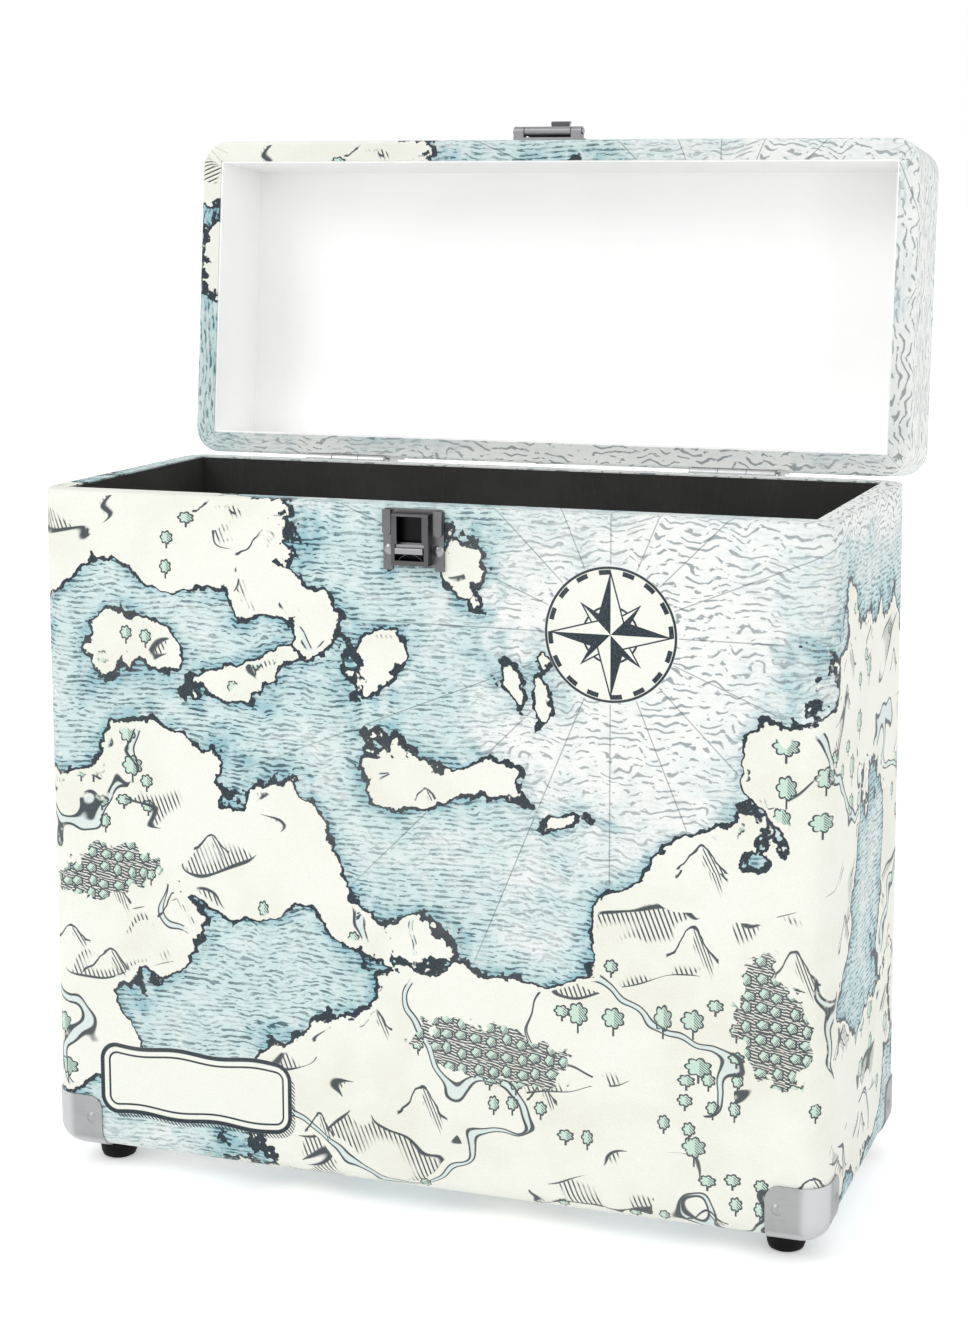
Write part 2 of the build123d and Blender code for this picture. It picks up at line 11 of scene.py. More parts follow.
import bpy
import numpy as np
from bpy.props import FloatProperty, FloatVectorProperty, PointerProperty
from bpy.types import Operator, Panel, PropertyGroup
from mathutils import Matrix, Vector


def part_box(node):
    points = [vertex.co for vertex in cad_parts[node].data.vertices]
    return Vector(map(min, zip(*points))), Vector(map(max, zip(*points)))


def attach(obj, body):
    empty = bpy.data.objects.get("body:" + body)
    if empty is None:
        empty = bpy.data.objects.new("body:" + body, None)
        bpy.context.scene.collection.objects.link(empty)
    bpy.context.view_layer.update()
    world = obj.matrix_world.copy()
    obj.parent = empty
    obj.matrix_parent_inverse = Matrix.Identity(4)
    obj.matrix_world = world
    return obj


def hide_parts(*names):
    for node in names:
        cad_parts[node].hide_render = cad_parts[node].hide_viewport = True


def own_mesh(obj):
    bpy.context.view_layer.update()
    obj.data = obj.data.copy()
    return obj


bl_info = {
    "name": "Record Carrying Case",
    "version": (1, 0, 0),
    "blender": (4, 5, 0),
    "location": "3D View > Sidebar > Case",
    "description": "Finishes, printed covering, seams, grip, spring and studio for a record case",
    "category": "Object",
}

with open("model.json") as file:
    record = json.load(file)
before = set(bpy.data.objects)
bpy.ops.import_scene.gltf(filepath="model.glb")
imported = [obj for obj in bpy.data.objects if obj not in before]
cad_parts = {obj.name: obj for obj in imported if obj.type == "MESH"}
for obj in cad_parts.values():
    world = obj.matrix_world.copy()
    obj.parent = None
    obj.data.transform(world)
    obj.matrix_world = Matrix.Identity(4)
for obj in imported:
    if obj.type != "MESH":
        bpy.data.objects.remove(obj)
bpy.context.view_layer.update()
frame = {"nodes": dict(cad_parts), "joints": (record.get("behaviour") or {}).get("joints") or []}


def joint(name):
    """The frame's record of a joint."""
    return next(entry for entry in frame["joints"] if entry["name"] == name)


# Sizes in millimetres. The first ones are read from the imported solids.
BODY_LOW, BODY_HIGH = (np.array(corner) * 1000 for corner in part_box("body_covering"))
SIDE = float(BODY_HIGH[0])
FRONT, BACK = float(BODY_LOW[1]), float(BODY_HIGH[1])
UNDERSIDE, SPLIT = float(BODY_LOW[2]), float(BODY_HIGH[2])
MIDDLE = (FRONT + BACK) / 2
HALF_DEPTH = (BACK - FRONT) / 2
LID_TOP = SPLIT + 55.4
CORNER_RADIUS = 12.0
# Above these heights the covering folds over an upper rim or edge, and below them a lower one.
BODY_FOLD, LID_FOLD = 150.0, SPLIT + 15
# The hinge's line in metres, and the angle that the lid turns by to shut.
HINGE = tuple(joint("lid_hinge")["pos_m"])
OPEN_ANGLE = math.radians(joint("lid_hinge")["range_deg"][1])


# ---- settings
def colour(name, text, default):
    return FloatVectorProperty(
        name=name, description=text, default=default, subtype="COLOR", size=3, min=0, max=1
    )


def angle(name, text, degrees):
    return FloatProperty(name=name, description=text, default=math.radians(degrees), subtype="ANGLE")


class CASE_PG_print(PropertyGroup):
    land: colour("Land", "Paper colour of the land", (0.75, 0.762, 0.695))
    land_shade: colour("Land shade", "Aged patches of the land", (0.70, 0.70, 0.615))
    sea: colour("Sea", "Tint of the water near land", (0.50, 0.63, 0.635))
    shore: colour("Shore", "Deep tint right along the coast", (0.17, 0.38, 0.435))
    open_sea: colour("Open sea", "Pale tint far from land", (0.75, 0.765, 0.745))
    ink: colour("Ink", "Coastline and drawing ink", (0.004, 0.016, 0.026))
    swell: colour("Swell", "Ink of the loose waves far from land", (0.23, 0.27, 0.28))
    hatch: colour("Hatch", "Ink of the water lines", (0.035, 0.090, 0.115))
    leaf: colour("Leaf", "Fill of the tree crowns", (0.45, 0.63, 0.52))
    grain: FloatProperty(
        name="Grain", description="Width of one pebble", default=0.0009, min=0, unit="LENGTH", precision=5
    )


class CASE_PG_finish(PropertyGroup):
    lid_lining: colour("Lid lining", "Smooth paper inside the lid", (0.975, 0.975, 0.97))
    body_lining: colour("Body lining", "Dark paper inside the body", (0.018, 0.0175, 0.0165))
    steel: colour("Steel", "Pressed corner guards and rivets", (0.375, 0.38, 0.385))
    nickel: colour("Nickel", "Hasp and catch", (0.27, 0.27, 0.28))
    rubber: colour("Rubber", "Moulded feet", (0.005, 0.005, 0.005))


class CASE_PG_studio(PropertyGroup):
    floor: colour("Floor", "Pale floor and backdrop", (0.90, 0.90, 0.90))
    lens: FloatProperty(name="Lens", description="Focal length", default=67.19, min=1, unit="CAMERA")
    yaw: angle("Yaw", "Turn to the left of +Y", 18.9737)
    pitch: angle("Pitch", "Tilt downwards", 8.0918)


# ---- formulas as shader nodes
def plug(tree, socket, value):
    """Links a field or a socket to an input, or sets the input's own value."""
    if isinstance(value, Field):
        tree.links.new(value.socket, socket)
    elif isinstance(value, bpy.types.NodeSocket):
        tree.links.new(value, socket)
    else:
        socket.default_value = value


def maths_node(operation, last=False):
    """Method that puts a maths node on a field and the values after it, or before it."""

    def method(field, *others):
        values = (*others, field) if last else (field, *others)
        return field.maths(operation, *values)

    return method


class Field:
    """A number or a vector that changes over a surface, so that formulas read as formulas."""

    def __init__(self, tree, socket):
        self.tree, self.socket = tree, socket

    def node(self, kind, values, output=0, **settings):
        """New shader node of that kind; values are (input, value) pairs."""
        node = self.tree.nodes.new("ShaderNode" + kind)
        for name, setting in settings.items():
            setattr(node, name, setting)
        for which, value in values:
            plug(self.tree, node.inputs[which], value)
        return Field(self.tree, node.outputs[output])

    def maths(self, operation, *values):
        return self.node("Math", list(enumerate(values)), operation=operation)

    __add__ = maths_node("ADD")
    __sub__ = maths_node("SUBTRACT")
    __rsub__ = maths_node("SUBTRACT", last=True)
    __mul__ = maths_node("MULTIPLY")
    __truediv__ = maths_node("DIVIDE")
    __lt__ = maths_node("LESS_THAN")
    __gt__ = maths_node("GREATER_THAN")
    size = maths_node("ABSOLUTE")
    at_least = maths_node("MAXIMUM")
    at_most = maths_node("MINIMUM")
    sine = maths_node("SINE")
    part = maths_node("FRACT")

    def rise(self, start, end):
        """0 before start, 1 after end, and a smooth step between. Where start is the larger,
        it falls from 1 to 0. Both are in the field's own unit, which on the sheet is a
        millimetre."""
        pairs = [(0, self), (1, start), (2, end)]
        return self.node("MapRange", pairs, interpolation_type="SMOOTHSTEP")

    def towards(self, other, share):
        """This number where share is 0, the other where it is 1."""
        pairs = [(0, share), (2, self), (3, other)]
        return self.node("Mix", pairs, data_type="FLOAT")

    def split(self):
        """The x, y and z of a vector."""
        parts = self.node("SeparateXYZ", [(0, self)]).socket.node.outputs
        return [Field(self.tree, part) for part in parts]

    def joined(self, y, z=0.0):
        """Vector with this number as its x."""
        return self.node("CombineXYZ", [(0, self), (1, y), (2, z)])

    def vector(self, operation, *values, output=0):
        pairs = list(enumerate((self, *values)))
        return self.node("VectorMath", pairs, output, operation=operation)

    def magnitude(self):
        return self.vector("LENGTH", output="Value")

    def scaled(self, factor):
        return self.node("VectorMath", [(0, self), ("Scale", factor)], operation="SCALE")

    def placed(self, centre, size=(1.0, 1.0), turn=0.0):
        """Sheet point seen from a centre, in units of the size, turned by degrees."""
        pairs = [
            ("Vector", self),
            ("Location", (centre[0], centre[1], 0)),
            ("Rotation", (0, 0, math.radians(turn))),
            ("Scale", (size[0], size[1], 1)),
        ]
        return self.node("Mapping", pairs, vector_type="TEXTURE")

    def noise(self, width, detail=2.0, rough=0.5, output="Fac", kind="2D"):
        """Soft noise whose largest features are about as wide as given."""
        pairs = [("Vector", self), ("Scale", 1 / width), ("Detail", detail), ("Roughness", rough)]
        return self.node("TexNoise", pairs, output, noise_dimensions=kind)

    def cells(self, width, output="Position", scatter=0.5, kind="2D", feature="F1"):
        """Scattered cells as wide as given: a cell's own place, or the distance to it."""
        pairs = [("Vector", self), ("Scale", 1 / width), ("Randomness", scatter)]
        return self.node("TexVoronoi", pairs, output, voronoi_dimensions=kind, feature=feature)


def highest(fields):
    """At each point the largest of several fields."""
    return reduce(Field.at_least, fields)


def blend(share, first, second):
    """Colour that goes from the first to the second as share goes from 0 to 1."""
    ends = [value if isinstance(value, Field) else (*value, 1.0) for value in (first, second)]
    return share.node("Mix", [(0, share), *zip((6, 7), ends)], 2, data_type="RGBA")


VECTOR, NUMBER, COLOUR = "NodeSocketVector", "NodeSocketFloat", "NodeSocketColor"


def new_group(name, inputs, outputs):
    """Empty node group, with its inputs as fields and a function that wires its outputs."""
    group = bpy.data.node_groups.new(name, "ShaderNodeTree")
    for side, sockets in (("INPUT", inputs), ("OUTPUT", outputs)):
        for text, kind in sockets:
            group.interface.new_socket(text, in_out=side, socket_type=kind)
    entry = group.nodes.new("NodeGroupInput")
    leave = group.nodes.new("NodeGroupOutput")
    fields = [Field(group, entry.outputs[text]) for text, _ in inputs]

    def finish(*values):
        for (text, _), value in zip(outputs, values):
            plug(group, leave.inputs[text], value)

    return group, fields, finish


def use_group(tree, group, **values):
    """Places a group in a tree and returns its outputs by name."""
    node = tree.nodes.new("ShaderNodeGroup")
    node.node_tree = group
    for text, value in values.items():
        plug(tree, node.inputs[text.replace("_", " ")], value)
    return {out.name: Field(tree, out) for out in node.outputs}


def tinted(tone, factor):
    """A colour times a factor."""
    return [factor * part for part in tone]


def new_material(name):
    """Material with a Principled BSDF, and a field that holds the object's own coordinates."""
    material = bpy.data.materials.new(name)
    material.use_nodes = True
    tree = material.node_tree
    shader = next(node for node in tree.nodes if node.type == "BSDF_PRINCIPLED")
    coordinates = tree.nodes.new("ShaderNodeTexCoord")
    return material, tree, shader, Field(tree, coordinates.outputs["Object"])


def coat(tree, shader, tone, rough, height, strength, distance):
    """Gives a shader its colour and its roughness, and its normal from a height field."""
    plug(tree, shader.inputs["Base Color"], tone)
    plug(tree, shader.inputs["Roughness"], rough)
    node = tree.nodes.new("ShaderNodeBump")
    node.inputs["Strength"].default_value = strength
    node.inputs["Distance"].default_value = distance
    plug(tree, node.inputs["Height"], height)
    tree.links.new(node.outputs["Normal"], shader.inputs["Normal"])


def dress(nodes, material):
    """Gives every named CAD node the material in all its slots."""
    for name in nodes:
        slots = frame["nodes"][name].material_slots
        if not slots:
            raise RuntimeError(f"{name} has no material slot")
        for slot in slots:
            slot.material = material


def named(*starts, ends=""):
    """CAD nodes whose names start with one of the words and end with the given one."""
    return [name for name in frame["nodes"] if name.startswith(starts) and name.endswith(ends)]


# ---- shared groups
def sheet_group():
    """Unrolls the case into one flat sheet, in millimetres.

    u runs round the walls from the middle of the front, by the wall's length and by
    radius times angle at each rounded corner; v is the height above the underside, and
    runs on over a rim or an edge by the distance in from the wall's outside. The top of
    the lid carries the front's sheet straight on to the back. Edge is 1 where two walls
    meet in a rounded corner, on a rim or round the top or the underside. Pleat is 1 on the
    rim's fold lines, which run inwards from each outer corner: a - slope times b = 0, with
    a and b the distances in from the two walls.
    """
    group, (position, turn_height), finish = new_group(
        "Sheet Unrolled",
        [("Position", VECTOR), ("Turn Height", NUMBER)],
        [("Sheet", VECTOR), ("Edge", NUMBER), ("Pleat", NUMBER)],
    )
    x, y, z = position.scaled(1000.0).split()
    flat_x, flat_y, radius = SIDE - CORNER_RADIUS, HALF_DEPTH - CORNER_RADIUS, CORNER_RADIUS
    across, depth = x.size(), y - MIDDLE
    beside, ahead, behind = across - flat_x, depth * -1 - flat_y, depth - flat_y
    out_side, out_front, out_back = beside.at_least(0), ahead.at_least(0), behind.at_least(0)
    rear = depth > 0
    front_arc = out_side.maths("ARCTAN2", out_side, out_front).towards(math.pi / 2, rear) * radius
    back_arc = out_back.maths("ARCTAN2", out_back, out_side) * radius * rear
    front_run = across.at_most(flat_x).towards(flat_x, rear)
    side_run = (depth + flat_y).at_least(0).at_most(2 * flat_y)
    back_run = (flat_x - across).at_least(0) * rear
    around = (front_run + front_arc + side_run + back_arc + back_run) * x.maths("SIGN", x)

    past_y = depth.size() - flat_y
    reach = out_side.joined(past_y.at_least(0)).magnitude() + beside.at_least(past_y).at_most(0)
    inward = (radius - reach).at_least(0)
    fold = (z > turn_height) * 2 - 1
    up = z - UNDERSIDE + inward * fold
    lid_upper_part, past_the_bend = SPLIT + 40, 6
    on_top = (inward > past_the_bend) * (z > lid_upper_part)
    top_up = z - UNDERSIDE + depth + HALF_DEPTH

    upright = out_side.at_most(out_front + out_back).rise(0.5, 4.5)
    level = (z - UNDERSIDE).at_most(LID_TOP - z).at_least(inward)
    rim = (z - SPLIT).size().at_least(inward)
    edge = upright.at_least(level.rise(8.0, 3.5) * inward.rise(0.0, 2.0)).at_least(rim.rise(1.6, 0.6))

    from_side, from_end = SIDE - across, HALF_DEPTH - depth.size()
    at_corner = from_side.at_least(from_end).rise(14.0, 12.0) * inward.rise(0.4, 1.4)
    steep = 2.3
    folds = [
        (from_side - from_end * slope).size().rise(0.45 * slope**0.5, 0.1)
        for slope in (1.0, steep, 1 / steep)
    ]
    pleat = highest(folds) * at_corner * (z - SPLIT).size().rise(2.4, 1.6)
    finish(around.towards(x, on_top).joined(up.towards(top_up, on_top)), edge, pleat)
    return group


# Ellipses on the sheet: centre u, centre v, half length, half width, turn in degrees.
# They are the lands, the pale open seas and the dense forests.
LANDS = (
    (104, 48, 150, 58, -6), (150, 112, 66, 58, 18), (186, 176, 34, 46, 4), (20, 26, 96, 48, 3),
    (-170, 118, 76, 48, -20), (-186, 62, 40, 50, 10), (-98, 150, 70, 24, -14),
    (-34, 122, 40, 15, -30), (-158, 286, 96, 24, 4), (-62, 266, 34, 14, -30),
    (-34, 238, 14, 22, 10), (-70, 212, 38, 11, 10), (-128, 222, 16, 14, -16),
    (12, 190, 24, 11, -18), (52, 168, 12, 6, 0), (20, 270, 10, 15, 24), (50, 222, 7, 5, 0),
    (34, 234, 5, 7, 0), (70, 322, 58, 13, 5), (-160, 338, 50, 14, -6), (250, 214, 74, 40, -16),
    (318, 120, 44, 90, 16), (256, 60, 40, 34, -10), (-292, 214, 110, 44, 12),
    (-350, 130, 58, 76, -10), (-262, 30, 70, 26, 6), (420, 204, 96, 44, -14), (452, 96, 70, 54, 10),
    (-446, 84, 66, 52, -10), (-430, 230, 74, 30, 12), (-40, 404, 128, 30, -9),
    (-118, 440, 60, 40, 12), (104, 462, 92, 32, 10),
)
PALE_SEAS = (
    (104, 222, 118, 104, 0), (-40, 346, 120, 60, 0), (210, 330, 150, 70, 0), (-236, 120, 60, 80, 0),
    (366, 170, 70, 110, 0),
)
FORESTS = (
    (34, 66, 34, 12, -8), (152, 92, 15, 26, 12), (-146, 128, 24, 11, 16), (-312, 226, 40, 12, -10),
    (430, 178, 36, 13, 12), (-52, 408, 38, 9, -6),
)
# Centres of the wind rose and of the plaque.
ROSE, PLAQUE = (84, 246), (-104, 34)
# Noises that push the sheet about: how wide their features are, and how far they push.
WARPS = ((64, 70), (20, 20), (6.5, 5.4))
# Hills and trees: the cell's width, and the slow noise's values between which it is drawn.
HILLS = ((24, 0.53, 0.60), (38, 0.60, 1.0))
TREES = ((10.5, 0.42, 0.51), (17.0, 0.0, 0.42))
# Distance from one row of the water's dashes, or of its waves, to the next.
DASH_ROW, WAVE_ROW = 2.2, 3.4


def reaches(sheet, ellipses):
    """Distances from the centres of ellipses, each in that ellipse's own radii."""
    return [sheet.placed(place[:2], place[2:4], place[4]).magnitude() for place in ellipses]


def land_rise(sheet):
    """Height of the land in millimetres from its coast: the best of many turned ellipses,
    each (1 - distance from its centre in its own radii) times its narrow radius, on a sheet
    that three noises push about, so that the coasts have bays and capes. A fourth noise adds
    to the height, so that they have teeth."""
    pushed = sheet
    for width, far in WARPS:
        push = sheet.noise(width, 1, 0.5, "Color").vector("SUBTRACT", (0.5, 0.5, 0.5))
        pushed = push.vector("MULTIPLY_ADD", (far, far, 0), pushed)
    rises = []
    for place, reach in zip(LANDS, reaches(pushed, LANDS)):
        narrow = min(place[2:4])
        rises.append(reach.maths("MULTIPLY_ADD", reach, -narrow, narrow))
    tooth_width, tooth_height = 5, 7
    return highest(rises) + (sheet.noise(tooth_width, 2, 0.6) - 0.5) * tooth_height


def draw_water(sheet, rise, tones):
    """Tint by the distance from land, with level dashes near it and loose short waves further
    out. The rows follow each other up v, each a stripe in the fraction of v over the distance
    from row to row, and a noise stretched along u breaks them up."""
    u, v, _ = sheet.split()
    cloud = sheet.noise(30, 3, 0.6)
    blotch = sheet.noise(8, 3, 0.65)
    ragged = (cloud - 0.5) * 0.8
    pale = highest([(reach + ragged).rise(1.0, 0.35) for reach in reaches(sheet, PALE_SEAS)])
    nearness = rise.rise(-40, -6) * (1 - pale * 0.85)
    wash = nearness + ragged + (blotch - 0.5) * 0.9
    tint = blend(wash, tones.open_sea, tones.sea)
    deep = rise.rise(-10, -0.5) * (cloud * 0.5 + blotch * 0.5).rise(0.32, 0.58) * (1 - pale * 0.5)
    tint = blend(deep * 0.85, tint, tones.shore)
    ripple = (u / 21 + cloud * 6).sine() * 0.9
    level = ((v + ripple + (cloud - 0.5) * 9) / DASH_ROW).part()
    dashes = u.joined(v * 4).noise(6.5, 2, 0.6)
    swollen = dashes.rise(0.42, 0.62) * 0.15 + 0.10
    lines = (level - 0.5).size().rise(swollen + 0.08, swollen) * dashes.rise(0.45, 0.50)
    swell = (u / 8 + sheet.noise(26, 1, 0.5) * 15).sine() * 1.5
    wave = ((v + swell + (cloud - 0.5) * 18) / WAVE_ROW).part()
    strokes = u.joined(v * 2.0, 7.0).noise(4.8, 2, 0.55, kind="3D")
    waves = (wave - 0.5).size().rise(0.20, 0.11) * strokes.rise(0.46, 0.51)
    water = blend(waves * (0.9 - nearness * 0.8), tint, tones.swell)
    pressure = nearness * (blotch.rise(0.36, 0.6) * 0.55 + 0.28) + deep * 0.35
    return blend(lines * pressure, water, tones.hatch)


def motif(sheet, width, scatter):
    """Scattered cells that each hold one small drawing: the cell's place, and where in it
    a point is, in millimetres from the place, so stretched that no two drawings are alike."""
    cell = sheet.cells(width, scatter=scatter)
    chance = cell.node("TexWhiteNoise", [("Vector", cell)], "Value", noise_dimensions="2D")
    x, y, _ = sheet.vector("SUBTRACT", cell).split()
    return cell, x * (chance * 0.5 + 0.85), y * (1.3 - chance * 0.4)


def hatching(amount, period, width):
    """Parallel pen strokes of a width, as a share of the period."""
    return ((amount / period).part() - 0.5).size().rise(width / 2 + 0.06, width / 2 - 0.06)


def draw_hills(sheet, width):
    """Hills in cells of a width: the bell curve exp(-0.028 x squared), shaded on its right.
    The drawing grows with the cell, and the pen stays as fine."""
    size = width / 28
    cell, x, y = motif(sheet, width, 0.3)
    wobble = (sheet.noise(4 * size, 1, 0.5) - 0.5) * 2.6 * size
    power = x * x * (-0.028 / size**2)
    bell = power.maths("EXPONENT", power) * 10 * size - 4 * size + wobble
    below = bell - y
    crest = below.size().rise(0.95, 0.45) * x.size().rise(10.6 * size, 9.8 * size)
    flank = below.rise(0.2, 0.8) * below.rise(7.5 * size, 4.5 * size) * x.rise(0.0, 1.0)
    flank = flank * x.rise(8.6 * size, 7.2 * size)
    return cell, crest.at_least(flank * hatching(x + y * 0.5, 1.7, 0.4))


def draw_trees(sheet, width):
    """Trees in cells of a width: a trunk, and a crown whose radius has seven scallops."""
    size = width / 11.5
    cell, x, y = motif(sheet, width, 0.3)
    above = y - 1.3 * size
    bearing = x.maths("ARCTAN2", above, x)
    crown = x.joined(above).magnitude() - (bearing * 3.5).sine().size() * 0.9 * size - 2.5 * size
    outline = crown.size().rise(0.6, 0.3)
    shade = crown.rise(0.0, -0.3) * x.rise(0.1, 0.6) * hatching(x + y, 1.3, 0.4)
    trunk = y.rise(-4.8 * size, -4.4 * size) * y.rise(-1.2 * size, -1.8 * size)
    trunk = trunk * x.size().rise(0.6, 0.35)
    return cell, outline.at_least(shade).at_least(trunk), crown.rise(0.1, -0.1)


def draw_forests(sheet):
    """Forests: round crowns close together over hatched ground, inside a ragged ellipse."""
    ragged = (sheet.noise(9, 2, 0.6) - 0.5) * 1.1
    inside = highest([(reach + ragged).rise(1.02, 0.98) for reach in reaches(sheet, FORESTS)])
    _, x, y = motif(sheet, 6.4, 0.35)
    bearing = x.maths("ARCTAN2", y, x)
    crown = x.joined(y).magnitude() - (bearing * 2.5).sine().size() * 0.6 - 2.1
    outline = crown.size().rise(0.55, 0.25)
    shade = crown.rise(0.0, -0.3) * (x * 0.8 - y * 0.6).rise(-0.3, 0.4) * hatching(x + y, 1.1, 0.5)
    ground = crown.rise(0.0, 0.2) * hatching(y + x * 0.2 + ragged, 1.4, 0.62)
    return outline.at_least(shade).at_least(ground) * inside, crown.rise(0.1, -0.1), inside


def draw_ridges(sheet):
    """Long pen strokes along the level line of a stretched noise. A second noise makes them
    swell and thin out, and hatching runs along the side where the first one is higher."""
    course = sheet.placed((0, 0), (2.2, 1.0), 22).noise(40, 2, 0.45) - 0.57
    weight = sheet.noise(30, 1, 0.5).rise(0.42, 0.66)
    stroke = course.size().rise(weight * 0.014 + 0.003, weight * 0.007) * weight.rise(0.02, 0.10)
    x, y, _ = sheet.split()
    flank = course.rise(0.0, 0.01) * course.rise(0.11, 0.05) * weight.rise(0.25, 0.5)
    return stroke.at_least(flank * hatching(x + y * 0.4, 2.1, 0.38))


def draw_land(sheet, rise, tones):
    """Aged paper with ridges, hills and trees in two sizes, and forests. Rivers follow the
    level line of a noise between two banks, and a second noise narrows them to nothing."""
    shaded = sheet.noise(60, 3, 0.65).rise(0.35, 0.75)
    paper = blend(shaded, tones.land, tones.land_shade)
    inland = rise.rise(4.0, 6.0)
    winding = (sheet.noise(95, 3, 0.45) - 0.52).size()
    course = sheet.noise(120, 1, 0.5).rise(0.44, 0.54)
    bank = course * 0.012
    drawing = (winding - bank).size().rise(0.0048, 0.0022) * (course > 0.03)
    paper = blend((winding < bank) * inland * 0.6, paper, tones.sea)
    drawing = drawing.at_least(draw_ridges(sheet) * (winding > bank + 0.03))

    for width, low, high in HILLS:
        cell, hills = draw_hills(sheet, width)
        region = cell.noise(75, 1, 0.5)
        drawing = drawing.at_least(hills * (region > low) * (region < high))
    leaves = []
    for width, low, high in TREES:
        cell, trees, crown = draw_trees(sheet, width)
        region = cell.noise(75, 1, 0.5)
        wooded = (cell.noise(58, 1, 0.5) > 0.50) * (region > low) * (region < high)
        drawing = drawing.at_least(trees * wooded)
        leaves.append(crown * wooded)
    forest, crowns, inside = draw_forests(sheet)
    drawing = drawing.towards(forest, inside) * inland
    leafy = highest(leaves).towards(crowns, inside) * inland
    paper = blend(leafy * 0.85, paper, tones.leaf)
    return blend(drawing * 0.95, paper, tones.ink), drawing


def star(x, y, reach):
    """Four-pointed star: inside, outline, and which half of each point is filled."""
    wide, tall = x.size(), y.size()
    edge = (wide * 3.6 + tall).at_most(wide + tall * 3.6) - reach
    return edge.rise(0.4, -0.4), edge.size().rise(1.6, 0.8), (x * y * (wide - tall)) > 0


def draw_rose(sheet, rise, picture, tones):
    """Two stars over each other in a pale disc with rings, and sixteen rays out to sea."""
    disc, inner_ring, outer_ring, bead_ring, diagonal = 28.0, 11.5, 27.2, 25.4, 0.7071
    x, y, _ = sheet.placed(ROSE).split()
    far = x.joined(y).magnitude()
    bearing = x.maths("ARCTAN2", y, x)
    rays = ((bearing * 8).sine().size() * far / 8).rise(0.36, 0.16)
    rays = rays * far.rise(disc, disc + 1) * far.rise(230, 110) * rise.rise(-2.5, -4.0)
    picture = blend(rays * 0.5, picture, tones.ink)
    short_in, short_edge, short_fill = star((x + y) * diagonal, (x - y) * diagonal, 17.0)
    long_in, long_edge, long_fill = star(x, y, 25.0)
    rings = (far - inner_ring).size().rise(0.6, 0.3)
    rings = rings.at_least((far - outer_ring).size().rise(0.7, 0.4))
    beads = (far - bead_ring).size().rise(1.1, 0.9) * ((bearing * 16).sine() > 0)
    ink = rings.at_least(beads).towards(short_fill, short_in).at_least(short_edge)
    ink = ink.towards(long_fill, long_in).at_least(long_edge * (far < 27))
    face = blend(ink, tones.land, tones.ink)
    return blend(far.rise(disc, disc - 0.4), picture, face)


def draw_plaque(sheet, picture, tones):
    """Blank rounded panel with a wavy double line and a hatched shadow."""
    u, v, _ = sheet.split()
    half_length, half_height, rounding, shadow_off = 38, 8, 7, 2.6

    def panel(across, up):
        x, y, _ = sheet.placed((PLAQUE[0] + across, PLAQUE[1] + up)).split()
        wide, tall = x.size() - half_length, y.size() - half_height
        corner = wide.at_least(0).joined(tall.at_least(0)).magnitude()
        return corner + wide.at_least(tall).at_most(0) - rounding + (x / 6).sine() * 0.7

    edge = panel(0, 0)
    shadow = panel(shadow_off, -shadow_off).rise(0.3, -0.3) * hatching(u + v, 1.7, 0.45)
    picture = blend(shadow, picture, tones.ink)
    lines = (edge - 0.2).size().rise(1.2, 0.8).at_least((edge + 3.2).size().rise(0.6, 0.3))
    face = blend(lines, tones.land, tones.ink)
    return blend(edge.rise(1.3, 1.0), picture, face)


def chart_group(tones):
    """Generic old sea chart: water, land, the coast's line, a wind rose and a blank plaque."""
    outputs = [("Color", COLOUR), ("Ink", NUMBER)]
    group, (sheet,), finish = new_group("Old Chart Print", [("Sheet", VECTOR)], outputs)
    rise = land_rise(sheet)
    water = draw_water(sheet, rise, tones)
    ground, drawing = draw_land(sheet, rise, tones)
    picture = blend(rise.rise(-0.2, 0.2), water, ground)
    thick = sheet.noise(10, 2, 0.5) * 1.9 + 0.1
    coast = rise.size().rise(thick + 0.30, thick - 0.10)
    picture = blend(coast, picture, tones.ink)
    picture = draw_rose(sheet, rise, picture, tones)
    picture = draw_plaque(sheet, picture, tones)
    finish(picture, coast.at_least(drawing))
    return group


def grain_group():
    """Leatherette pebbles: rounded cells with narrow creases, and a slower swell under them."""
    group, (position, width), finish = new_group(
        "Leather Grain",
        [("Position", VECTOR), ("Width", NUMBER)],
        [("Height", NUMBER), ("Crease", NUMBER)],
    )
    scaled = position.vector("DIVIDE", width.joined(width, width))
    pebble = scaled.cells(1.0, "Distance", 0.9, "3D", "DISTANCE_TO_EDGE")
    crease = pebble.rise(0.14, 0.02)
    swell = scaled.noise(7, 3, 0.6, kind="3D")
    finish(pebble.rise(0.0, 0.32) + swell * 0.6, crease)
    return group


def wear_group():
    """Handling marks on metal: soft cloudy tarnish, fine straight scratches and small dents."""
    group, (position, direction), finish = new_group(
        "Metal Wear",
        [("Position", VECTOR), ("Direction", VECTOR)],
        [("Cloud", NUMBER), ("Scratch", NUMBER), ("Dent", NUMBER)],
    )
    cloud = position.noise(0.016, 4, 0.6, kind="3D")
    stretched = position.vector("MULTIPLY", direction)
    scratch = stretched.noise(0.007, 6, 0.75, kind="3D")
    dent = position.noise(0.005, 2, 0.5, kind="3D")
    finish(cloud, scratch, dent)
    return group


